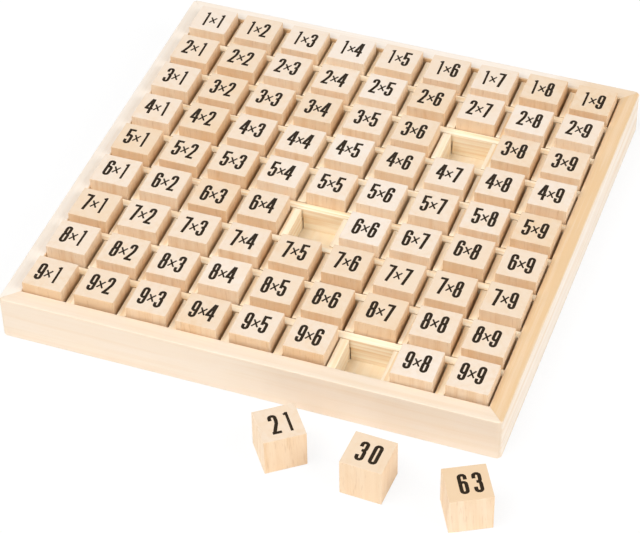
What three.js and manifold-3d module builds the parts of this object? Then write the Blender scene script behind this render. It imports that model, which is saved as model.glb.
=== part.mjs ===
// A multiplication board: a square wooden tray, divided by crossed slats into nine rows of nine cells,
// with a wooden cube for each cell. Three cubes have been taken out and lie in front of the tray.
// Millimetres, +Z up. The origin is the middle of the tray's underside.
// +X runs along the rows, and +Y runs from the front row to the back row.

import * as THREE from 'three';
import { ConvexGeometry } from 'three/addons/geometries/ConvexGeometry.js';
import { mergeVertices } from 'three/addons/utils/BufferGeometryUtils.js';
import Module from 'manifold-3d';

const wasm = await Module();
wasm.setup();

// Cubes
const ROWS = 9;
const COLUMNS = 9;
const CUBE_EDGE = 18.6;
const CUBE_CHAMFER = 0.4;
const CUBE_PLAY = 0.7; // gap on each side of a cube that lies in the middle of its cell
const CUBE_PROUD = 6.6; // how far a cube stands above the slats, for the fingers

// Slats
const SLAT_THICKNESS = 4;
const SLAT_END_GAP = 0.2; // between a slat's end and the rail
const LAP_COVER = 5; // wood left above each notch in a row slat
const LAP_SIDE_GAP = 0.3; // on each side of a slat in its neighbour's notch
const LAP_TOP_GAP = 0.3; // between the two notches of a crossing

// Frame
const BOARD_THICKNESS = 8;
const BOARD_EDGE_GAP = 0.2; // between the board's edge and the rail
const RAIL_WIDTH = 8;
const RIM_PROUD = 2; // how far the rails stand above the slats
const RAIL_CORNER_RADIUS = 1.5;
const MITRE_GAP = 0.2;
const CORNER_STEPS = 4;

// The cubes of a full row hang together by a thin tie that passes over the column slats
const FULL_ROWS = [1, 2, 4, 5, 7, 8];
const TIE_HEIGHT = 1.5;
const TIE_WIDTH = 2;
const TIE_GAP = 0.5; // between the tie and the slats under it

// The cubes that have been taken out, by their product: the distance to the right of the tray's middle,
// and the gap between the front rail and the cube's nearest corner
const CUBE_21_RIGHT = 26.1;
const CUBE_21_GAP = 13.3;
const CUBE_30_RIGHT = 66.4;
const CUBE_30_GAP = 20.1;
const CUBE_63_RIGHT = 109.4;
const CUBE_63_GAP = 19.9;

// Their cells, and their turn on the table in degrees
const TAKEN_OUT = [
  { row: 3, column: 7, right: CUBE_21_RIGHT, gap: CUBE_21_GAP, turn: 36.6 },
  { row: 6, column: 5, right: CUBE_30_RIGHT, gap: CUBE_30_GAP, turn: -2.7 },
  { row: 9, column: 7, right: CUBE_63_RIGHT, gap: CUBE_63_GAP, turn: 28.2 },
];

// Where a loose cube lies in its cell, as shares of its play: it leans to the left and the back,
// and strays from there by a wave along the rows and the columns
const LEAN_LEFT = 0.55;
const LEAN_BACK = 0.05;
const STRAY_SIDE = 0.35;
const STRAY_DEPTH = 0.75;
const SIDE_WAVE = { row: 2.3, column: 4.1 };
const DEPTH_WAVE = { row: 3.7, column: 1.9 };

// Worked out from the sizes above
const CELL = CUBE_EDGE + 2 * CUBE_PLAY;
const PITCH = CELL + SLAT_THICKNESS;
const SLAT_HEIGHT = CUBE_EDGE - CUBE_PROUD;
const SLAT_TOP = BOARD_THICKNESS + SLAT_HEIGHT;
const RAIL_HEIGHT = SLAT_TOP + RIM_PROUD;
const INNER_LENGTH = COLUMNS * PITCH - SLAT_THICKNESS;
const INNER_DEPTH = ROWS * PITCH - SLAT_THICKNESS;
const NOTCH_WIDTH = SLAT_THICKNESS + 2 * LAP_SIDE_GAP;

const QUARTER_TURN = Math.PI / 2;

const columnX = (column) => (column - (COLUMNS + 1) / 2) * PITCH;
const rowY = (row) => ((ROWS + 1) / 2 - row) * PITCH;

const wood = (color, roughness) => new THREE.MeshStandardMaterial({ color, roughness, metalness: 0 });
const railWood = () => wood(0xe9cfa6, 0.6);
const boardWood = () => wood(0xe8d0a2, 0.7);
const slatWood = () => wood(0xeed7ad, 0.65);
const cubeWood = () => wood(0xe6c39c, 0.6);

const board = new THREE.Group();

function addPiece(name, geometry, material) {
  const piece = new THREE.Mesh(geometry, material);
  piece.name = name;
  board.add(piece);
  return piece;
}

function outline(points) {
  return new THREE.Shape(points.map(([x, y]) => new THREE.Vector2(x, y)));
}

// A geometry as a solid that can be joined to others
function solidOf(geometry) {
  const bare = geometry.clone();
  bare.deleteAttribute('normal');
  bare.deleteAttribute('uv');
  const merged = mergeVertices(bare);
  return new wasm.Manifold(new wasm.Mesh({
    numProp: 3,
    vertProperties: new Float32Array(merged.attributes.position.array),
    triVerts: new Uint32Array(merged.index.array),
  }));
}

function geometryOf(solid) {
  const mesh = solid.getMesh();
  const geometry = new THREE.BufferGeometry();
  geometry.setAttribute('position', new THREE.BufferAttribute(new Float32Array(mesh.vertProperties), 3));
  geometry.setIndex(new THREE.BufferAttribute(new Uint32Array(mesh.triVerts), 1));
  geometry.computeVertexNormals();
  return geometry;
}

// A rail is mitred at both ends, with its outer corners rounded as far as the mitre.
// It is drawn as the front rail of a tray whose inside is innerLength wide and innerDepth deep.
function railGeometry(innerLength, innerDepth) {
  const mitreShift = MITRE_GAP / Math.SQRT2;
  const innerEnd = innerLength / 2 - mitreShift;
  const innerY = -innerDepth / 2;
  const arcX = innerEnd + RAIL_WIDTH - RAIL_CORNER_RADIUS;
  const arcY = innerY - RAIL_WIDTH + RAIL_CORNER_RADIUS;
  const mitre = -Math.PI / 4;
  const shape = new THREE.Shape();
  shape.moveTo(-innerEnd, innerY);
  shape.lineTo(innerEnd, innerY);
  shape.absarc(arcX, arcY, RAIL_CORNER_RADIUS, mitre, -QUARTER_TURN, true);
  shape.absarc(-arcX, arcY, RAIL_CORNER_RADIUS, -QUARTER_TURN, -Math.PI - mitre, true);
  return new THREE.ExtrudeGeometry(shape, {
    depth: RAIL_HEIGHT,
    bevelEnabled: false,
    curveSegments: CORNER_STEPS,
  });
}

function addRails() {
  const along = () => railGeometry(INNER_LENGTH, INNER_DEPTH);
  const across = () => railGeometry(INNER_DEPTH, INNER_LENGTH);
  addPiece('front_rail', along(), railWood());
  addPiece('right_rail', across(), railWood()).rotation.z = QUARTER_TURN;
  addPiece('back_rail', along(), railWood()).rotation.z = 2 * QUARTER_TURN;
  addPiece('left_rail', across(), railWood()).rotation.z = -QUARTER_TURN;
}

function addBaseBoard() {
  const length = INNER_LENGTH - 2 * BOARD_EDGE_GAP;
  const depth = INNER_DEPTH - 2 * BOARD_EDGE_GAP;
  const plate = addPiece('base_board', new THREE.BoxGeometry(length, depth, BOARD_THICKNESS), boardWood());
  plate.position.z = BOARD_THICKNESS / 2;
}

// A slat's side view, with its notches cut in from the bottom or from the top
function slatShape(length, crossings, notchDepth, fromTop) {
  const edge = fromTop ? SLAT_HEIGHT : 0;
  const notchEnd = fromTop ? SLAT_HEIGHT - notchDepth : notchDepth;
  const points = [[-length / 2, SLAT_HEIGHT - edge], [-length / 2, edge]];
  for (const crossing of crossings) {
    points.push([crossing - NOTCH_WIDTH / 2, edge], [crossing - NOTCH_WIDTH / 2, notchEnd]);
    points.push([crossing + NOTCH_WIDTH / 2, notchEnd], [crossing + NOTCH_WIDTH / 2, edge]);
  }
  points.push([length / 2, edge], [length / 2, SLAT_HEIGHT - edge]);
  return outline(points);
}

// The slat stands on its edge along X, with its middle over the origin
function slatGeometry(shape) {
  const geometry = new THREE.ExtrudeGeometry(shape, { depth: SLAT_THICKNESS, bevelEnabled: false });
  geometry.translate(0, 0, -SLAT_THICKNESS / 2);
  geometry.rotateX(QUARTER_TURN);
  return geometry;
}

function addSlats() {
  const betweenRows = Array.from({ length: ROWS - 1 }, (_, k) => rowY(k + 1) - PITCH / 2);
  const betweenColumns = Array.from({ length: COLUMNS - 1 }, (_, k) => columnX(k + 1) + PITCH / 2);
  const rowSlat = slatShape(
    INNER_LENGTH - 2 * SLAT_END_GAP, betweenColumns, SLAT_HEIGHT - LAP_COVER, false);
  const columnSlat = slatShape(
    INNER_DEPTH - 2 * SLAT_END_GAP, [...betweenRows].reverse(), LAP_COVER + LAP_TOP_GAP, true);
  betweenRows.forEach((y, k) => {
    addPiece(`row_slat_${k + 1}`, slatGeometry(rowSlat), slatWood()).position.set(0, y, BOARD_THICKNESS);
  });
  betweenColumns.forEach((x, k) => {
    const slat = addPiece(`column_slat_${k + 1}`, slatGeometry(columnSlat), slatWood());
    slat.position.set(x, 0, BOARD_THICKNESS);
    slat.rotation.z = QUARTER_TURN;
  });
}

// A cube about its own middle, with every edge chamfered
function cubeGeometry() {
  const face = CUBE_EDGE / 2;
  const edge = face - CUBE_CHAMFER;
  const corners = [];
  for (const x of [-1, 1]) {
    for (const y of [-1, 1]) {
      for (const z of [-1, 1]) {
        corners.push(new THREE.Vector3(x * face, y * edge, z * edge));
        corners.push(new THREE.Vector3(x * edge, y * face, z * edge));
        corners.push(new THREE.Vector3(x * edge, y * edge, z * face));
      }
    }
  }
  return new ConvexGeometry(corners);
}

// A loose cube lies off the middle of its cell, but never by its whole play
function cubePlace(row, column) {
  const side = -LEAN_LEFT + STRAY_SIDE * Math.sin(SIDE_WAVE.row * row + SIDE_WAVE.column * column);
  const depth = LEAN_BACK + STRAY_DEPTH * Math.cos(DEPTH_WAVE.row * row + DEPTH_WAVE.column * column);
  return new THREE.Vector3(
    columnX(column) + side * CUBE_PLAY,
    rowY(row) + depth * CUBE_PLAY,
    BOARD_THICKNESS + CUBE_EDGE / 2);
}

function isTakenOut(row, column) {
  return TAKEN_OUT.some((cube) => cube.row === row && cube.column === column);
}

function addFullRow(row) {
  const tie = new THREE.BoxGeometry(columnX(COLUMNS) - columnX(1), TIE_WIDTH, TIE_HEIGHT);
  tie.translate(0, rowY(row), SLAT_TOP + TIE_GAP + TIE_HEIGHT / 2);
  let joined = solidOf(tie);
  for (let column = 1; column <= COLUMNS; column += 1) {
    const cube = cubeGeometry();
    cube.translate(...cubePlace(row, column));
    joined = joined.add(solidOf(cube));
  }
  addPiece(`row_${row}_cubes`, geometryOf(joined), cubeWood());
}

function addSingleCubes(row) {
  for (let column = 1; column <= COLUMNS; column += 1) {
    if (!isTakenOut(row, column)) {
      const cube = addPiece(`cube_${row}x${column}`, cubeGeometry(), cubeWood());
      cube.position.copy(cubePlace(row, column));
    }
  }
}

// The cubes in front of the tray lie on the same table as the tray
function addTakenOutCubes() {
  for (const { row, column, right, gap, turn } of TAKEN_OUT) {
    const angle = THREE.MathUtils.degToRad(turn);
    const reach = (CUBE_EDGE / 2) * (Math.abs(Math.cos(angle)) + Math.abs(Math.sin(angle)));
    const cube = addPiece(`cube_${row * column}`, cubeGeometry(), cubeWood());
    cube.position.set(right, -(INNER_DEPTH / 2 + RAIL_WIDTH + gap + reach), CUBE_EDGE / 2);
    cube.rotation.z = angle;
  }
}

addRails();
addBaseBoard();
addSlats();
for (let row = 1; row <= ROWS; row += 1) {
  if (FULL_ROWS.includes(row)) {
    addFullRow(row);
  } else {
    addSingleCubes(row);
  }
}
addTakenOutCubes();

export default board;
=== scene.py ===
import math
import random

import bpy
from mathutils import Matrix, Quaternion, Vector


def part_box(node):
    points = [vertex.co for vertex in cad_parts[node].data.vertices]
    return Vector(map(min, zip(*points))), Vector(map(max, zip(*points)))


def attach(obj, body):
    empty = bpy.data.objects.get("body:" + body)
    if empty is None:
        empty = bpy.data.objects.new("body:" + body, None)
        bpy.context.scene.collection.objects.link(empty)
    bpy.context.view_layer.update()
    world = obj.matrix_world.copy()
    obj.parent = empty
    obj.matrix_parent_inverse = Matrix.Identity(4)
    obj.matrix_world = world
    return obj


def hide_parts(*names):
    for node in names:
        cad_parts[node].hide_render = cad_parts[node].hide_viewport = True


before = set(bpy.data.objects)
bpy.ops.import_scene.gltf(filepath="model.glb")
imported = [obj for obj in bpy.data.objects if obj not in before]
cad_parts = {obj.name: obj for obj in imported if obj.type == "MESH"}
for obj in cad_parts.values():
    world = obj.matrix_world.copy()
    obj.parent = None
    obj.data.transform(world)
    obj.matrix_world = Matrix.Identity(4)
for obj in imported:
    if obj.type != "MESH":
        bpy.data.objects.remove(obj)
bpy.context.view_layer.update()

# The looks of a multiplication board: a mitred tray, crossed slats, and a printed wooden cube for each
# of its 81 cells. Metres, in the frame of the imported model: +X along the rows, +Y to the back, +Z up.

draw = random.Random(81)

MM = 0.001
ROWS = 9
COLUMNS = 9
FULL_ROWS = (1, 2, 4, 5, 7, 8)

# The cubes taken out of their cells: the turn on the table in degrees, how deep in tone the wood is and
# how much deeper its top, and how far the print is off its place in millimetres
TAKEN_OUT = {
    (3, 7): {"turn": 36.6, "depth": 0.28, "top": 0.2, "print": (0.47, -1.21, 0)},
    (6, 5): {"turn": -2.7, "depth": 0.6, "top": 0.05, "print": (-0.16, -0.87, 0)},
    (9, 7): {"turn": 28.2, "depth": 0.4, "top": 0.6, "print": (0.58, -0.6, 0)},
}

# The camera, from the printed grid of sums
CAMERA_STAND = Vector((0.28195, -0.76988, 0.73994))
CAMERA_AIM = Vector((0.00313, -0.02734, 0.0))
CAMERA_ROLL = math.radians(-1.118)
CAMERA_LENS = 134.98

# Joinery
MITRE_GAP = 0.05 * MM
RAIL_CORNER_RADIUS = 1.5 * MM
RAIL_CORNER_STEPS = 6
RAIL_EASE = 0.7 * MM
RAIL_EASE_STEPS = 3
EASE_STEPS = 2  # on all other rounded edges
SLAT_EASE = 0.25 * MM
BOARD_EASE = 0.3 * MM
LAP_COVER = 5 * MM
LAP_SIDE_GAP = 0.45 * MM
LAP_TOP_GAP = 0.3 * MM
CUT_PAST = 1 * MM  # how far a cutting block reaches past what it cuts
SAME_HEIGHT = 0.01 * MM
FLAT_BELOW = math.radians(40)  # edges that turn less are no corners

# Cubes
CUBE_EASE = 0.3 * MM
FOOT_ROOM = 0.06 * MM  # the underside stands this much clear, for the print on it
CUBE_TURN = math.radians(0.8)
CUBE_KEEP_CLEAR = 0.03 * MM  # from the slats, after the turn
FIRST_ROW_LEAN = 0.6 * MM  # to the front, as far as the cells let it

# Prints
INK_HEIGHT = 0.06 * MM
INK_PROUD = 0.035 * MM
DIGIT_WIDTH = 3.4 * MM
DIGIT_HEIGHT = 10.6 * MM
STROKE = 1.34 * MM
ONE_STROKE = 1.05 * MM
TIMES_WIDTH = 3.5 * MM
TIMES_HEIGHT = 5.0 * MM
TIMES_STROKE = 0.8 * MM
TIMES_DROP = 0.35 * MM
SUM_GAP = 0.3 * MM
PRODUCT_GAP = 2.0 * MM
PRODUCT_STRETCH = (1.16, 1.03)
SUM_SHIFT = Vector((-0.4, 0.15, 0)) * MM
PRODUCT_SHIFT = Vector((0.65, 0.5, 0)) * MM
PRINT_STRAY = 0.5 * MM
PRINT_TURN = math.radians(1.6)
BEND_STEP = 30  # degrees of an arc for each edge of a digit
STROKE_WELD = 0.001 * MM
GLYPH_WELD = 0.002 * MM
GLYPH_FLAT_BELOW = math.radians(1)

# Tones of the woods: how deep the colour is, how warm, and how strong its figure. Faces towards the
# heart of the log are deeper, on every rail as it would lie in front; on the inner faces of the back
# and left rails that deeper tone is painted shade, for the narrow gaps by the cubes. A pair is a range
# to draw from.
RAIL_TONES = {
    "front_rail": {"quarter_turns": 0, "tone": (0.34, 0.2, 0.3), "heart_and_shade": (0, 0, 0.05)},
    "right_rail": {"quarter_turns": 1, "tone": (0.07, 0.3, 0.8), "heart_and_shade": (0, 0, 0.72)},
    # Back and left rails: their inner faces are deepened by 1.0, painted shade for the gaps by the cubes
    "back_rail": {"quarter_turns": 2, "tone": (0.0, 0.15, 0.3), "heart_and_shade": (0, 1.0, 0)},
    "left_rail": {"quarter_turns": 3, "tone": (0.02, 0.15, 0.3), "heart_and_shade": (0, 1.0, 0)},
}
BACK_RAIL_TURNS_DEEP = (72 * MM, 90 * MM)  # where, right of its middle, its tone turns deeper
BACK_RAIL_DEEPER = 0.58
BOARD_TONE = (0.1, 0.4, 0.6)
SLAT_DEPTH = (0.0, 0.04)
SLAT_WARMTH = (0.1, 0.4)
SLAT_FIGURE = (0.7, 1.2)
CUBE_DEPTH = (0.0, 0.7)
CUBE_WARMTH = (0.1, 0.7)
CUBE_FIGURE = (0.4, 0.9)
CUBE_HEART = 0.4
LAST_ROW_PAINTED_SHADE = 0.3  # painted shade: how much deeper the fronts of the last row are

# Places in the log, in metres: how far from the pith, how far to the side, how far along
RAIL_FROM_PITH = (0.03, 0.06)
SLAT_FROM_PITH = (0.02, 0.05)
CUBE_FROM_PITH = (0.02, 0.05)
BOARD_FROM_PITH = 0.05
BOARD_ASIDE = 0.02
BOARD_TURN_IN_LOG = 0.3
LOG_ASIDE = (-0.02, 0.02)
LOG_ALONG = (-3, 3)
CUBE_GRAIN_LEAN = (-0.06, 0.06)


# Node trees

def new_group(name, inputs, outputs):
    group = bpy.data.node_groups.new(name, "ShaderNodeTree")
    for socket, kind in inputs:
        group.interface.new_socket(socket, in_out="INPUT", socket_type=kind)
    for socket, kind in outputs:
        group.interface.new_socket(socket, in_out="OUTPUT", socket_type=kind)
    return group, group.nodes.new("NodeGroupInput"), group.nodes.new("NodeGroupOutput")


def give(tree, socket, value):
    """Feeds a socket from another socket, or sets it to a value."""
    if isinstance(value, bpy.types.NodeSocket):
        tree.links.new(value, socket)
    else:
        socket.default_value = value


def maths(tree, operation, *values, clamp=False):
    node = tree.nodes.new("ShaderNodeMath")
    node.operation = operation
    node.use_clamp = clamp
    for socket, value in zip(node.inputs, values):
        give(tree, socket, value)
    return node.outputs[0]


def scaled(tree, place, along):
    """A place stretched by three factors."""
    node = tree.nodes.new("ShaderNodeVectorMath")
    node.operation = "MULTIPLY"
    give(tree, node.inputs[0], place)
    node.inputs[1].default_value = along
    return node.outputs[0]


def noise(tree, place, detail=2.0, roughness=0.5):
    node = tree.nodes.new("ShaderNodeTexNoise")
    node.inputs["Scale"].default_value = 1.0
    node.inputs["Detail"].default_value = detail
    node.inputs["Roughness"].default_value = roughness
    give(tree, node.inputs["Vector"], place)
    return node


def eased(tree, value, low, high, start=0.0, end=1.0):
    """A value's way from low to high, smoothly, as start to end."""
    node = tree.nodes.new("ShaderNodeMapRange")
    node.interpolation_type = "SMOOTHSTEP"
    give(tree, node.inputs["Value"], value)
    node.inputs["From Min"].default_value = low
    node.inputs["From Max"].default_value = high
    node.inputs["To Min"].default_value = start
    node.inputs["To Max"].default_value = end
    return node.outputs[0]


def blended(tree, share, first, second, way="MIX"):
    node = tree.nodes.new("ShaderNodeMix")
    node.data_type = "RGBA"
    node.blend_type = way
    give(tree, node.inputs["Factor"], share)
    give(tree, node.inputs["A"], first)
    give(tree, node.inputs["B"], second)
    return node.outputs["Result"]


# Camera and stage

def add_camera():
    camera = bpy.data.objects.new("camera", bpy.data.cameras.new("camera"))
    bpy.context.scene.collection.objects.link(camera)
    camera.data.sensor_width = 36
    camera.data.lens = CAMERA_LENS
    camera.data.clip_end = 20
    camera.location = CAMERA_STAND
    level = (CAMERA_AIM - CAMERA_STAND).to_track_quat("-Z", "Y")
    camera.rotation_mode = "QUATERNION"
    camera.rotation_quaternion = level @ Quaternion((0, 0, 1), CAMERA_ROLL)
    bpy.context.scene.camera = camera


FLOOR_SIZE = 6.0
FLOOR_DROP = 0.1 * MM
FLOOR_WHITE = (0.93, 0.93, 0.93, 1)
FLOOR_SEEN_WHITE = 0.85  # share of plain white that the camera sees in the floor
SKY_RIM_LEVEL = 0.5
SKY_CROWN_LEVEL = 0.13
SIDE_LAMP = {"place": (3.25, -0.6, 2.05), "size": 2.7, "watts": 87.0}
MAIN_LAMP = {"place": (-1.15, -1.7, 3.3), "size": 3.3, "watts": 150.0}


def seen_directly(tree):
    """1 where the camera sees a surface by itself, in a mirror or through glass."""
    path = tree.nodes.new("ShaderNodeLightPath")
    glossy = maths(tree, "MAXIMUM", path.outputs["Is Camera Ray"], path.outputs["Is Glossy Ray"])
    return maths(tree, "MAXIMUM", glossy, path.outputs["Is Transmission Ray"])


def add_floor():
    bpy.ops.object.select_all(action="DESELECT")
    bpy.ops.mesh.primitive_plane_add(size=FLOOR_SIZE, location=(0, 0, -FLOOR_DROP))
    floor = bpy.context.object
    floor.name = "studio_floor"
    paper = bpy.data.materials.new("white_paper")
    paper.use_nodes = True
    tree = paper.node_tree
    tree.nodes.clear()
    lit = tree.nodes.new("ShaderNodeBsdfDiffuse")
    lit.inputs["Color"].default_value = FLOOR_WHITE
    white = tree.nodes.new("ShaderNodeEmission")
    share = maths(tree, "MULTIPLY", seen_directly(tree), FLOOR_SEEN_WHITE)
    mix = tree.nodes.new("ShaderNodeMixShader")
    out = tree.nodes.new("ShaderNodeOutputMaterial")
    tree.links.new(share, mix.inputs["Fac"])
    tree.links.new(lit.outputs[0], mix.inputs[1])
    tree.links.new(white.outputs[0], mix.inputs[2])
    tree.links.new(mix.outputs[0], out.inputs["Surface"])
    floor.data.materials.append(paper)


def add_sky():
    sky = bpy.data.worlds.new("studio")
    bpy.context.scene.world = sky
    sky.use_nodes = True
    tree = sky.node_tree
    tree.nodes.clear()
    soft = tree.nodes.new("ShaderNodeBackground")
    where = tree.nodes.new("ShaderNodeTexCoord")
    height = tree.nodes.new("ShaderNodeSeparateXYZ")
    tree.links.new(where.outputs["Generated"], height.inputs[0])
    level = eased(tree, height.outputs["Z"], 0.0, 1.0, SKY_RIM_LEVEL, SKY_CROWN_LEVEL)
    tree.links.new(level, soft.inputs["Strength"])
    white = tree.nodes.new("ShaderNodeBackground")
    mix = tree.nodes.new("ShaderNodeMixShader")
    out = tree.nodes.new("ShaderNodeOutputWorld")
    tree.links.new(seen_directly(tree), mix.inputs["Fac"])
    tree.links.new(soft.outputs[0], mix.inputs[1])
    tree.links.new(white.outputs[0], mix.inputs[2])
    tree.links.new(mix.outputs[0], out.inputs["Surface"])
    for background in (soft, white):
        background.inputs["Color"].default_value = (1, 1, 1, 1)


def add_lamp(name, lamp):
    panel = bpy.data.lights.new(name, "AREA")
    panel.size = lamp["size"]
    panel.energy = lamp["watts"]
    stand = bpy.data.objects.new(name, panel)
    bpy.context.scene.collection.objects.link(stand)
    stand.location = lamp["place"]
    stand.rotation_mode = "QUATERNION"
    stand.rotation_quaternion = (-Vector(lamp["place"])).to_track_quat("-Z", "Y")


# Wood and ink

# Waves per metre of each part of the figure: twice across the log, and along it
WANDER_WAVES = (55, 55, 9)
STREAK_WAVES = (420, 420, 11)
FIBRE_WAVES = (2600, 2600, 60)
PORE_WAVES = (5200, 5200, 330)
PATCH_WAVES = (95, 95, 42)
FLECK_WAVES = (1300, 1300, 150)

# The level of each noise at which that part starts to show, and at which it shows fully
STREAK_SHOWS = (0.44, 0.68)
FIBRE_SHOWS = (0.3, 0.7)
PORE_SHOWS = (0.62, 0.74)
PATCH_SHOWS = (0.38, 0.68)
FLECK_SHOWS = (0.58, 0.74)

# What each part does
RING_WANDER = (0.006, 0.006, 0)
LATE_WOOD_GROWS = (0.25, 0.9)  # shares of a ring's width
LATE_WOOD_ENDS = (0.9, 1.0)
STREAK_DEPTH = 0.34
FIBRE_DEPTH = 0.12
PORE_DEPTH = 0.18
FLECK_DEPTH = 0.22
END_LOSS = 0.4  # how much of the figure is lost on faces across the grain
PLAIN_ROUGHNESS = 0.5
FIBRE_ROUGHNESS = 0.12
PORE_ROUGHNESS = 0.1
PORE_HEIGHT = -0.6
LATE_WOOD_HEIGHT = 0.4
RELIEF_STRENGTH = 0.35
WOOD_SHINE = 0.15

INK_WAVES = (900, 900, 900)
INK_THINS = (0.45, 0.75)
THICK_INK = (0.019, 0.012, 0.006, 1)
THIN_INK = (0.046, 0.029, 0.015, 1)
INK_ROUGHNESS = 0.6
THIN_INK_ROUGHNESS = 0.2
INK_SHINE = 0.1


def wood_figure_group():
    """Rings round the pith, streaks and pores along the grain, patches of warmer wood and small flecks.
    A log place has the pith on its Z axis. End share is 1 on a face across the grain."""
    group, given, made = new_group(
        "wood_figure",
        [
            ("Log Place", "NodeSocketVector"),
            ("Tone", "NodeSocketVector"),
            ("End Share", "NodeSocketFloat"),
            ("Ring Width", "NodeSocketFloat"),
            ("Ring Depth", "NodeSocketFloat"),
            ("Pale", "NodeSocketColor"),
            ("Deep", "NodeSocketColor"),
            ("End Pale", "NodeSocketColor"),
            ("End Deep", "NodeSocketColor"),
            ("Warm", "NodeSocketColor"),
            ("Fleck", "NodeSocketColor"),
        ],
        [
            ("Color", "NodeSocketColor"),
            ("Roughness", "NodeSocketFloat"),
            ("Height", "NodeSocketFloat"),
        ],
    )
    place = given.outputs["Log Place"]
    tone = group.nodes.new("ShaderNodeSeparateXYZ")
    group.links.new(given.outputs["Tone"], tone.inputs[0])
    depth, warmth, strength = tone.outputs

    wander = noise(group, scaled(group, place, WANDER_WAVES))
    offset = group.nodes.new("ShaderNodeVectorMath")
    offset.operation = "MULTIPLY_ADD"
    group.links.new(wander.outputs["Color"], offset.inputs[0])
    offset.inputs[1].default_value = RING_WANDER
    group.links.new(scaled(group, place, (1, 1, 0)), offset.inputs[2])
    radius = group.nodes.new("ShaderNodeVectorMath")
    radius.operation = "LENGTH"
    group.links.new(offset.outputs[0], radius.inputs[0])
    rings = maths(group, "DIVIDE", radius.outputs["Value"], given.outputs["Ring Width"])
    in_ring = maths(group, "FRACT", rings)
    late = maths(
        group, "MULTIPLY",
        eased(group, in_ring, *LATE_WOOD_GROWS), eased(group, in_ring, *LATE_WOOD_ENDS, 1.0, 0.0))

    streaks = noise(group, scaled(group, place, STREAK_WAVES), detail=3.0)
    fibres = noise(group, scaled(group, place, FIBRE_WAVES))
    pores = noise(group, scaled(group, place, PORE_WAVES), detail=1.0)
    patches = noise(group, scaled(group, place, PATCH_WAVES))
    flecks = noise(group, scaled(group, place, FLECK_WAVES), detail=1.0)
    streak = eased(group, streaks.outputs["Fac"], *STREAK_SHOWS)
    fibre = eased(group, fibres.outputs["Fac"], *FIBRE_SHOWS)
    pore = eased(group, pores.outputs["Fac"], *PORE_SHOWS)
    patch = eased(group, patches.outputs["Fac"], *PATCH_SHOWS)
    fleck = eased(group, flecks.outputs["Fac"], *FLECK_SHOWS, 0.0, FLECK_DEPTH)

    end = given.outputs["End Share"]
    figure = maths(group, "MULTIPLY", late, given.outputs["Ring Depth"])
    figure = maths(group, "MULTIPLY_ADD", streak, STREAK_DEPTH, figure)
    figure = maths(group, "MULTIPLY_ADD", fibre, FIBRE_DEPTH, figure)
    figure = maths(group, "MULTIPLY_ADD", pore, PORE_DEPTH, figure)
    figure = maths(group, "MULTIPLY", figure, maths(group, "MULTIPLY_ADD", end, -END_LOSS, 1.0))
    figure = maths(group, "MULTIPLY", figure, strength)
    figure = maths(group, "ADD", figure, depth, clamp=True)
    pale = blended(group, end, given.outputs["Pale"], given.outputs["End Pale"])
    deep = blended(group, end, given.outputs["Deep"], given.outputs["End Deep"])
    colour = blended(group, figure, pale, deep)
    warm = maths(group, "MULTIPLY", patch, warmth, clamp=True)
    colour = blended(group, warm, colour, given.outputs["Warm"], "MULTIPLY")
    fleck = maths(group, "MULTIPLY", fleck, maths(group, "SUBTRACT", 1.0, end))
    colour = blended(group, fleck, colour, given.outputs["Fleck"], "MULTIPLY")
    group.links.new(colour, made.inputs["Color"])

    rough = maths(group, "MULTIPLY_ADD", fibre, FIBRE_ROUGHNESS, PLAIN_ROUGHNESS)
    rough = maths(group, "MULTIPLY_ADD", pore, PORE_ROUGHNESS, rough)
    group.links.new(rough, made.inputs["Roughness"])

    height = maths(group, "MULTIPLY_ADD", pore, PORE_HEIGHT, fibre)
    height = maths(group, "MULTIPLY_ADD", late, LATE_WOOD_HEIGHT, height)
    group.links.new(height, made.inputs["Height"])
    return group


def wood(name, figure, ring_width, ring_depth, relief, colours):
    """A wood whose figure follows the piece's own place in the log. A relief of 0 is none."""
    material = bpy.data.materials.new(name)
    material.use_nodes = True
    tree = material.node_tree
    shader = tree.nodes["Principled BSDF"]
    grain = tree.nodes.new("ShaderNodeGroup")
    grain.node_tree = figure
    own_attributes = (
        ("Log Place", "log_place", "Vector"),
        ("Tone", "wood_tone", "Vector"),
        ("End Share", "end_share", "Fac"),
    )
    for socket, attribute, kind in own_attributes:
        read = tree.nodes.new("ShaderNodeAttribute")
        read.attribute_type = "GEOMETRY"
        read.attribute_name = attribute
        tree.links.new(read.outputs[kind], grain.inputs[socket])
    grain.inputs["Ring Width"].default_value = ring_width
    grain.inputs["Ring Depth"].default_value = ring_depth
    for socket, colour in colours.items():
        grain.inputs[socket].default_value = (*colour, 1)
    tree.links.new(grain.outputs["Color"], shader.inputs["Base Color"])
    tree.links.new(grain.outputs["Roughness"], shader.inputs["Roughness"])
    shader.inputs["Specular IOR Level"].default_value = WOOD_SHINE
    if relief:
        bump = tree.nodes.new("ShaderNodeBump")
        bump.inputs["Strength"].default_value = RELIEF_STRENGTH
        bump.inputs["Distance"].default_value = relief
        tree.links.new(grain.outputs["Height"], bump.inputs["Height"])
        tree.links.new(bump.outputs["Normal"], shader.inputs["Normal"])
    return material


def ink_material():
    """A matt black stamp, thinner where the fibres took less of it."""
    material = bpy.data.materials.new("stamp_ink")
    material.use_nodes = True
    tree = material.node_tree
    shader = tree.nodes["Principled BSDF"]
    where = tree.nodes.new("ShaderNodeTexCoord")
    cover = noise(tree, scaled(tree, where.outputs["Object"], INK_WAVES), detail=4.0, roughness=0.7)
    thin = eased(tree, cover.outputs["Fac"], *INK_THINS)
    roughness = maths(tree, "MULTIPLY_ADD", thin, THIN_INK_ROUGHNESS, INK_ROUGHNESS)
    tree.links.new(blended(tree, thin, THICK_INK, THIN_INK), shader.inputs["Base Color"])
    tree.links.new(roughness, shader.inputs["Roughness"])
    shader.inputs["Specular IOR Level"].default_value = INK_SHINE
    return material


# Work on pieces

def activate(piece):
    bpy.ops.object.select_all(action="DESELECT")
    piece.select_set(True)
    bpy.context.view_layer.objects.active = piece


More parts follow.
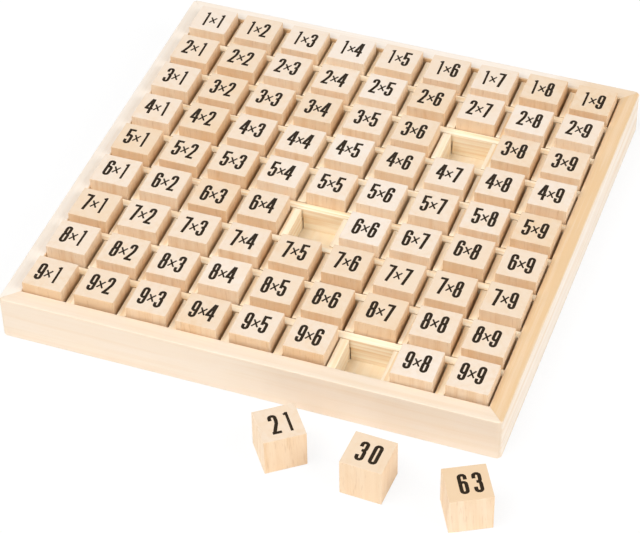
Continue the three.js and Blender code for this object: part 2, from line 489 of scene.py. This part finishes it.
def block(name, low, high):
    """A block between two corners, with its place in its mesh."""
    bpy.ops.object.select_all(action="DESELECT")
    bpy.ops.mesh.primitive_cube_add(size=1, location=(Vector(low) + Vector(high)) / 2)
    piece = bpy.context.object
    piece.name = name
    piece.scale = Vector(high) - Vector(low)
    bpy.ops.object.transform_apply(location=True, rotation=True, scale=True)
    return piece


def ease_edges(piece, width, steps, wanted):
    """Rounds the edges whose two ends satisfy a rule."""
    activate(piece)
    bpy.ops.object.mode_set(mode="EDIT")
    bpy.ops.mesh.select_mode(type="EDGE")
    bpy.ops.mesh.select_all(action="DESELECT")
    bpy.ops.object.mode_set(mode="OBJECT")
    for edge in piece.data.edges:
        first, second = (piece.data.vertices[end].co for end in edge.vertices)
        edge.select = wanted(first, second)
    bpy.ops.object.mode_set(mode="EDIT")
    bpy.ops.mesh.bevel(offset=width, segments=steps, affect="EDGES")
    bpy.ops.object.mode_set(mode="OBJECT")


def apply_modifier(piece, kind, **settings):
    activate(piece)
    modifier = piece.modifiers.new(kind.lower(), kind)
    for setting, value in settings.items():
        setattr(modifier, setting, value)
    bpy.ops.object.modifier_apply(modifier=modifier.name)


def cut_away(piece, tool):
    apply_modifier(piece, "BOOLEAN", operation="DIFFERENCE", solver="EXACT", object=tool)
    bpy.data.objects.remove(tool)


def smooth_edges(piece):
    """Smooth rounded edges between flat faces."""
    activate(piece)
    bpy.ops.object.shade_smooth_by_angle(angle=FLAT_BELOW)
    apply_modifier(piece, "WEIGHTED_NORMAL", keep_sharp=True)


def copy_of(pattern, name):
    piece = pattern.copy()
    piece.data = pattern.data.copy()
    piece.name = name
    piece.data.name = name
    bpy.context.scene.collection.objects.link(piece)
    return piece


def lay_in_log(piece, grain, turn, pith, tone, heart_and_shade=(0, 0, 0)):
    """Gives each point its place in the log that the piece was sawn from: the grain runs along the
    log's Z axis, and pith is how far the piece lay from it. Heart points to the deeper faces: the
    wood's own deeper side, and painted shade on the inner faces of the back and left rails and on
    the fronts of the last row of cubes."""
    along = Vector(grain).normalized()
    upright = along.to_track_quat("Z", "Y").inverted().to_matrix().to_4x4()
    to_log = Matrix.Translation(pith) @ Matrix.Rotation(turn, 4, "Z") @ upright
    places = piece.data.attributes.new("log_place", "FLOAT_VECTOR", "POINT")
    for vertex in piece.data.vertices:
        places.data[vertex.index].vector = to_log @ vertex.co
    tones = piece.data.attributes.new("wood_tone", "FLOAT_VECTOR", "FACE")
    for face in piece.data.polygons:
        deeper = max(0.0, face.normal.dot(Vector(heart_and_shade)))
        tones.data[face.index].vector = Vector(tone) + Vector((deeper, 0, 0))
    ends = piece.data.attributes.new("end_share", "FLOAT", "FACE")
    for face in piece.data.polygons:
        ends.data[face.index].value = face.normal.dot(along) ** 2


def drawn_pith(from_pith):
    return draw.uniform(*from_pith), draw.uniform(*LOG_ASIDE), draw.uniform(*LOG_ALONG)


def deepen_along(piece, way, deeper):
    """Turns the tone of a piece deeper on a way along X."""
    start, end = way
    face_tones = [Vector(tone.vector) for tone in piece.data.attributes["wood_tone"].data]
    piece.data.attributes.remove(piece.data.attributes["wood_tone"])
    tones = piece.data.attributes.new("wood_tone", "FLOAT_VECTOR", "CORNER")
    for face in piece.data.polygons:
        for corner in face.loop_indices:
            along = piece.data.vertices[piece.data.loops[corner].vertex_index].co.x
            share = min(1.0, max(0.0, (along - start) / (end - start)))
            tones.data[corner].vector = face_tones[face.index] + Vector((deeper * share, 0, 0))


def hand_over(piece, material, slot, body, *nodes):
    piece.data.materials.clear()
    piece.data.materials.append(material)
    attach(piece, body)
    if nodes:
        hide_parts(*nodes)


# Tray

def make_rails(material):
    """One square frame with rounded corners, sawn at the mitres. Its front side serves for all four."""
    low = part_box("front_rail")[0]
    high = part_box("back_rail")[1]
    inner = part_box("front_rail")[1].y
    pattern = block("rail_pattern", low, high)
    ease_edges(pattern, RAIL_CORNER_RADIUS, RAIL_CORNER_STEPS, lambda a, b: abs(a.z - b.z) > SAME_HEIGHT)
    inside = block("inside", (inner, inner, low.z - CUT_PAST), (-inner, -inner, high.z + CUT_PAST))
    cut_away(pattern, inside)
    ease_edges(pattern, RAIL_EASE, RAIL_EASE_STEPS, lambda a, b: abs(a.z - b.z) < SAME_HEIGHT)
    activate(pattern)
    bpy.ops.object.mode_set(mode="EDIT")
    for side in (-1, 1):
        bpy.ops.mesh.select_all(action="SELECT")
        bpy.ops.mesh.bisect(
            plane_co=(0, -MITRE_GAP / math.sqrt(2), 0), plane_no=(side, 1, 0),
            use_fill=True, clear_outer=True)
    for along in BACK_RAIL_TURNS_DEEP:
        bpy.ops.mesh.select_all(action="SELECT")
        bpy.ops.mesh.bisect(plane_co=(-along, 0, 0), plane_no=(1, 0, 0))
    bpy.ops.object.mode_set(mode="OBJECT")
    smooth_edges(pattern)
    for name, look in RAIL_TONES.items():
        rail = copy_of(pattern, name + "_eased")
        pith = drawn_pith(RAIL_FROM_PITH)
        lay_in_log(rail, (1, 0, 0), draw.uniform(0, math.tau), pith, look["tone"], look["heart_and_shade"])
        rail.data.transform(Matrix.Rotation(look["quarter_turns"] * math.tau / 4, 4, "Z"))
        if name == "back_rail":
            deepen_along(rail, BACK_RAIL_TURNS_DEEP, BACK_RAIL_DEEPER)
        hand_over(rail, material, "rail_wood", "tray", name)
    bpy.data.objects.remove(pattern)


def make_base_board(material):
    low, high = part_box("base_board")
    board = block("base_board_eased", low, high)
    ease_edges(board, BOARD_EASE, EASE_STEPS, lambda a, b: True)
    smooth_edges(board)
    pith = (BOARD_FROM_PITH, BOARD_ASIDE, draw.uniform(*LOG_ALONG))
    lay_in_log(board, (0, 1, 0), BOARD_TURN_IN_LOG, pith, BOARD_TONE)
    hand_over(board, material, "board_wood", "tray", "base_board")


def slat_pattern(name, node, crossing_nodes, depth, from_top):
    """A slat on edge along X, its middle over the origin, with a notch for each slat that crosses it."""
    low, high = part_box(node)
    along = 0 if high.x - low.x > high.y - low.y else 1
    length = high[along] - low[along]
    thickness = high[1 - along] - low[1 - along]
    pattern = block(name, (-length / 2, -thickness / 2, low.z), (length / 2, thickness / 2, high.z))
    for crossing in crossing_nodes:
        cross_low, cross_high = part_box(crossing)
        start = cross_low[along] - LAP_SIDE_GAP
        end = cross_high[along] + LAP_SIDE_GAP
        bottom = high.z - depth if from_top else low.z - CUT_PAST
        top = high.z + CUT_PAST if from_top else low.z + depth
        cut_away(pattern, block("notch", (start, -thickness, bottom), (end, thickness, top)))
    apply_modifier(
        pattern, "BEVEL",
        width=SLAT_EASE, segments=EASE_STEPS, limit_method="ANGLE", angle_limit=FLAT_BELOW)
    smooth_edges(pattern)
    return pattern


def make_slats(material):
    row_names = [f"row_slat_{k}" for k in range(1, ROWS)]
    column_names = [f"column_slat_{k}" for k in range(1, COLUMNS)]
    low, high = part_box(row_names[0])
    row_depth = high.z - low.z - LAP_COVER
    row_slat = slat_pattern("row_slat_pattern", row_names[0], column_names, row_depth, False)
    column_slat = slat_pattern(
        "column_slat_pattern", column_names[0], row_names, LAP_COVER + LAP_TOP_GAP, True)
    for pattern, names, quarter_turns in ((row_slat, row_names, 0), (column_slat, column_names, 1)):
        turn = Matrix.Rotation(quarter_turns * math.tau / 4, 4, "Z")
        for name in names:
            slat = copy_of(pattern, name + "_eased")
            pith = drawn_pith(SLAT_FROM_PITH)
            tone = (draw.uniform(*SLAT_DEPTH), draw.uniform(*SLAT_WARMTH), draw.uniform(*SLAT_FIGURE))
            lay_in_log(slat, (1, 0, 0), draw.uniform(0, math.tau), pith, tone)
            low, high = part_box(name)
            middle = (low + high) / 2
            slat.data.transform(Matrix.Translation((middle.x, middle.y, 0)) @ turn)
            hand_over(slat, material, "slat_wood", "tray", name)
        bpy.data.objects.remove(pattern)


# Digits

SIDE = (DIGIT_WIDTH - STROKE) / 2
TOP = (DIGIT_HEIGHT - STROKE) / 2
ROUND = TOP - SIDE  # where the bends at the top and the bottom have their middle
HOOK = ROUND - 1.4 * MM  # where the open end of a bend stops
TIP = DIGIT_HEIGHT / 2
EDGE = DIGIT_WIDTH / 2


def bend(y, radius, start, end):
    steps = round(abs(end - start) / BEND_STEP)
    angles = [math.radians(start + (end - start) * k / steps) for k in range(steps + 1)]
    return [(radius * math.cos(angle), y + radius * math.sin(angle)) for angle in angles]


def turned_half(strokes):
    return [(closed, [(-x, -y) for x, y in points]) for closed, points in strokes]


def digit_strokes():
    """The middle lines of each digit's strokes, about the digit's middle, and whether they close."""
    over = bend(ROUND, SIDE, 180, 0)
    under = bend(-ROUND, SIDE, 0, -180)
    waist = 0.4 * MM
    bowl = waist - SIDE
    crown = waist + SIDE
    loop = -0.15 * MM
    neck = 0.9 * SIDE
    bar = -1.7 * MM
    stem = 0.75 * MM
    six = [
        (True, bend(loop, SIDE, 180, 0) + under),
        (False, [(-SIDE, -ROUND), *over, (SIDE, HOOK)]),
    ]
    return {
        "0": [(True, over + under)],
        "1": [
            (False, [(0.3 * MM, TIP), (0.3 * MM, -TIP)]),
            (False, [(0.5 * MM, TOP + 0.15 * MM), (-0.85 * MM, TOP - 0.45 * MM)]),
        ],
        "2": [
            (False, [
                (-SIDE, HOOK), *over, (SIDE, 1.6 * MM), (0.8 * MM, 0.2 * MM), (-SIDE, -TIP + 0.4 * MM),
            ]),
            (False, [(-EDGE, -TOP), (EDGE, -TOP)]),
        ],
        "3": [
            (False, [(-SIDE, HOOK), *over, *bend(crown, SIDE, 0, -90), (-0.4 * MM, waist)]),
            (False, [(-0.4 * MM, waist), *bend(bowl, SIDE, 90, 0), *under, (-SIDE, -HOOK)]),
        ],
        "4": [
            (False, [(stem, TIP), (stem, -TIP)]),
            (False, [(0.35 * MM, TIP - 0.05 * MM), (-1.5 * MM, bar - 0.3 * MM)]),
            (False, [(-EDGE - 0.25 * MM, bar), (EDGE + 0.2 * MM, bar)]),
        ],
        "5": [
            (False, [(-SIDE, TIP), (-SIDE, -0.45 * MM)]),
            (False, [(-EDGE, TOP), (EDGE, TOP)]),
            (False, [(-SIDE, 0.95 * MM), *bend(0.95 * MM - SIDE, SIDE, 90, 0), *under, (-SIDE, -HOOK)]),
        ],
        "6": six,
        "7": [
            (False, [(-EDGE, TOP), (EDGE, TOP)]),
            (False, [(SIDE, TOP), (-0.15 * MM, -TIP)]),
        ],
        "8": [
            (True, bend(TOP - neck, neck, 180, 0) + bend(waist + neck, neck, 0, -180)),
            (True, bend(bowl, SIDE, 180, 0) + under),
        ],
        "9": turned_half(six),
    }


def times_strokes():
    reach = (TIMES_WIDTH - TIMES_STROKE) / 2
    rise = (TIMES_HEIGHT - TIMES_STROKE) / 2
    return [
        (False, [(-reach, -rise), (reach, rise)]),
        (False, [(-reach, rise), (reach, -rise)]),
    ]


def stroke_solid(name, points, closed, width):
    """A line along the middle of a stroke, made a wall of the ink's height and thickened."""
    line = bpy.data.curves.new(name, "CURVE")
    line.dimensions = "2D"
    line.fill_mode = "NONE"
    line.extrude = INK_HEIGHT / 2
    spline = line.splines.new("POLY")
    spline.points.add(len(points) - 1)
    for point, (x, y) in zip(spline.points, points):
        point.co = (x, y, 0, 1)
    spline.use_cyclic_u = closed
    stroke = bpy.data.objects.new(name, line)
    bpy.context.scene.collection.objects.link(stroke)
    activate(stroke)
    bpy.ops.object.convert(target="MESH")
    stroke = bpy.context.object
    bpy.ops.object.mode_set(mode="EDIT")
    bpy.ops.mesh.select_all(action="SELECT")
    bpy.ops.mesh.remove_doubles(threshold=STROKE_WELD)
    bpy.ops.object.mode_set(mode="OBJECT")
    apply_modifier(stroke, "SOLIDIFY", thickness=width, offset=0, use_even_offset=True)
    return stroke


def glyph_pattern(name, strokes, width):
    solids = [stroke_solid(name, points, closed, width) for closed, points in strokes]
    glyph = solids[0]
    for other in solids[1:]:
        apply_modifier(glyph, "BOOLEAN", operation="UNION", solver="EXACT", object=other)
        bpy.data.objects.remove(other)
    activate(glyph)
    bpy.ops.object.mode_set(mode="EDIT")
    bpy.ops.mesh.select_all(action="SELECT")
    bpy.ops.mesh.remove_doubles(threshold=GLYPH_WELD)
    bpy.ops.mesh.dissolve_limited(angle_limit=GLYPH_FLAT_BELOW)
    bpy.ops.mesh.normals_make_consistent(inside=False)
    bpy.ops.object.mode_set(mode="OBJECT")
    glyph.name = name
    return glyph


def make_glyphs():
    glyphs = {
        digit: glyph_pattern("digit_" + digit, strokes, ONE_STROKE if digit == "1" else STROKE)
        for digit, strokes in digit_strokes().items()
    }
    glyphs["x"] = glyph_pattern("times_sign", times_strokes(), TIMES_STROKE)
    return glyphs


def line_of_print(glyphs, text, gap, stretch, shift):
    """Copies of the glyphs of a line, with their middle shifted from the origin."""
    widths = [TIMES_WIDTH if sign == "x" else DIGIT_WIDTH * stretch[0] for sign in text]
    left = -(sum(widths) + gap * (len(text) - 1)) / 2
    stray = Vector((draw.uniform(-1, 1), draw.uniform(-1, 1), 0)) * PRINT_STRAY
    turn = Matrix.Rotation(draw.uniform(-1, 1) * PRINT_TURN, 4, "Z")
    signs = []
    for sign, width in zip(text, widths):
        glyph = copy_of(glyphs[sign], "sign")
        drop = -TIMES_DROP if sign == "x" else 0
        size = Matrix.Identity(4) if sign == "x" else Matrix.Diagonal((*stretch, 1, 1))
        place = Matrix.Translation((left + width / 2, drop, 0))
        glyph.data.transform(Matrix.Translation(shift + stray) @ turn @ place @ size)
        signs.append(glyph)
        left += width + gap
    return signs


def joined(pieces, name):
    bpy.ops.object.select_all(action="DESELECT")
    for piece in pieces:
        piece.select_set(True)
    bpy.context.view_layer.objects.active = pieces[0]
    bpy.ops.object.join()
    pieces[0].name = name
    pieces[0].data.name = name
    return pieces[0]


# Cubes

def cube_pattern(edge):
    """A cube about its own middle with rounded edges. Its underside is a hair short, for the print."""
    half = edge / 2
    pattern = block("cube_pattern", (-half, -half, -half + FOOT_ROOM), (half, half, half))
    ease_edges(pattern, CUBE_EASE, EASE_STEPS, lambda a, b: True)
    smooth_edges(pattern)
    return pattern


def cube_home(row, column, pitch):
    """The node and the body that hold a cell's cube, and the middle of the cube as its solid lies."""
    if (row, column) in TAKEN_OUT:
        node = body = f"cube_{row * column}"
    elif row in FULL_ROWS:
        node, body = f"row_{row}_cubes", f"row_{row}"
    else:
        node = body = f"cube_{row}x{column}"
    low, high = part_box(node)
    middle = (low + high) / 2
    if row in FULL_ROWS:
        cell = (column - (COLUMNS + 1) / 2) * pitch
        top = [
            vertex.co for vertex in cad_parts[node].data.vertices
            if high.z - vertex.co.z < SAME_HEIGHT and abs(vertex.co.x - cell) < pitch / 2
        ]
        middle.x = (min(corner.x for corner in top) + max(corner.x for corner in top)) / 2
        middle.y = (min(corner.y for corner in top) + max(corner.y for corner in top)) / 2
    return node, body, middle


def drawn_forward(middle, edge, cell, pitch):
    """A cube's middle moved to the front of its cell, as far as it goes."""
    front = pitch * round(middle.y / pitch) - (cell - edge) / 2 + CUBE_KEEP_CLEAR
    return Vector((middle.x, min(middle.y, max(front, middle.y - FIRST_ROW_LEAN)), middle.z))


def cube_turn(middle, edge, cell, pitch):
    """A small turn that keeps the cube clear of the walls of its cell."""
    stray = max(abs(place - pitch * round(place / pitch)) for place in (middle.x, middle.y))
    room = (cell - edge) / 2 - stray - CUBE_KEEP_CLEAR
    return draw.uniform(-1, 1) * min(CUBE_TURN, max(0.0, room) / (edge / 2))


def make_cubes(cube_material, ink):
    low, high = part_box("cube_3x1")
    edge = high.z - low.z
    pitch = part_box("column_slat_2")[0].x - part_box("column_slat_1")[0].x
    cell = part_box("column_slat_2")[0].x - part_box("column_slat_1")[1].x
    pattern = cube_pattern(edge)
    glyphs = make_glyphs()
    raise_print = Matrix.Translation((0, 0, edge / 2 + INK_PROUD - INK_HEIGHT / 2))
    turn_over = Matrix.Rotation(math.pi, 4, "X")
    sink_print = Matrix.Translation((0, 0, FOOT_ROOM))
    for row in range(1, ROWS + 1):
        for column in range(1, COLUMNS + 1):
            node, body, middle = cube_home(row, column, pitch)
            if row == 1:
                middle = drawn_forward(middle, edge, cell, pitch)
            taken_out = TAKEN_OUT.get((row, column))
            turn = math.radians(taken_out["turn"]) if taken_out else cube_turn(middle, edge, cell, pitch)
            home = Matrix.Translation(middle) @ Matrix.Rotation(turn, 4, "Z")

            cube = copy_of(pattern, f"wooden_cube_{row}x{column}")
            pith = drawn_pith(CUBE_FROM_PITH)
            depth = draw.uniform(*CUBE_DEPTH)
            heart_and_shade = Vector((draw.uniform(-1, 1), draw.uniform(-1, 1), 0)) * CUBE_HEART
            product_shift = PRODUCT_SHIFT
            if taken_out:
                depth = taken_out["depth"]
                heart_and_shade.z = taken_out["top"]
                product_shift = PRODUCT_SHIFT + Vector(taken_out["print"]) * MM
            # Painted shade: the fronts of the last row of cubes are made deeper
            elif row == ROWS:
                heart_and_shade.y -= LAST_ROW_PAINTED_SHADE
            tone = (depth, draw.uniform(*CUBE_WARMTH), draw.uniform(*CUBE_FIGURE))
            grain = (draw.uniform(*CUBE_GRAIN_LEAN), draw.uniform(*CUBE_GRAIN_LEAN), 1)
            lay_in_log(cube, grain, draw.uniform(0, math.tau), pith, tone, heart_and_shade)
            cube.data.transform(home)
            hand_over(cube, cube_material, "cube_wood", body, node)

            sum_signs = line_of_print(glyphs, f"{row}x{column}", SUM_GAP, (1, 1), SUM_SHIFT)
            product_signs = line_of_print(
                glyphs, str(row * column), PRODUCT_GAP, PRODUCT_STRETCH, product_shift)
            above, below = (product_signs, sum_signs) if taken_out else (sum_signs, product_signs)
            for sign in above:
                sign.data.transform(home @ raise_print)
            for sign in below:
                sign.data.transform(home @ sink_print @ turn_over @ raise_print)
            print_name = f"print_{row}x{column}"
            hand_over(joined(above + below, print_name), ink, "ink", body)
    for used in (pattern, *glyphs.values()):
        bpy.data.objects.remove(used)


bpy.context.scene.view_settings.view_transform = "Standard"
add_camera()
add_floor()
add_sky()
add_lamp("side_lamp", SIDE_LAMP)
add_lamp("main_lamp", MAIN_LAMP)

figure = wood_figure_group()
rail_wood = wood("rail_wood", figure, 3.5 * MM, 0.18, 0.05 * MM, {
    "Pale": (0.85, 0.78, 0.705),
    "Deep": (0.72, 0.51, 0.30),
    "End Pale": (0.78, 0.66, 0.53),
    "End Deep": (0.715, 0.525, 0.34),
    "Warm": (1.0, 0.95, 0.86),
    "Fleck": (1, 1, 1),
})
board_wood = wood("board_wood", figure, 4 * MM, 0.18, 0, {
    "Pale": (0.83, 0.725, 0.56),
    "Deep": (0.77, 0.575, 0.34),
    "End Pale": (0.78, 0.66, 0.49),
    "End Deep": (0.72, 0.53, 0.31),
    "Warm": (1.0, 0.94, 0.82),
    "Fleck": (1, 1, 1),
})
slat_wood = wood("slat_wood", figure, 2.5 * MM, 0.34, 0, {
    "Pale": (0.97, 0.88, 0.71),
    "Deep": (0.82, 0.57, 0.30),
    "End Pale": (0.80, 0.68, 0.52),
    "End Deep": (0.74, 0.54, 0.33),
    "Warm": (1.0, 0.94, 0.84),
    "Fleck": (1, 1, 1),
})
cube_wood = wood("cube_wood", figure, 4.5 * MM, 0.18, 0.04 * MM, {
    "Pale": (0.91, 0.765, 0.60),
    "Deep": (0.775, 0.55, 0.345),
    "End Pale": (0.815, 0.722, 0.635),
    "End Deep": (0.745, 0.56, 0.375),
    "Warm": (1.0, 0.94, 0.86),
    "Fleck": (0.62, 0.45, 0.30),
})
ink = ink_material()

make_rails(rail_wood)
make_base_board(board_wood)
make_slats(slat_wood)
make_cubes(cube_wood, ink)
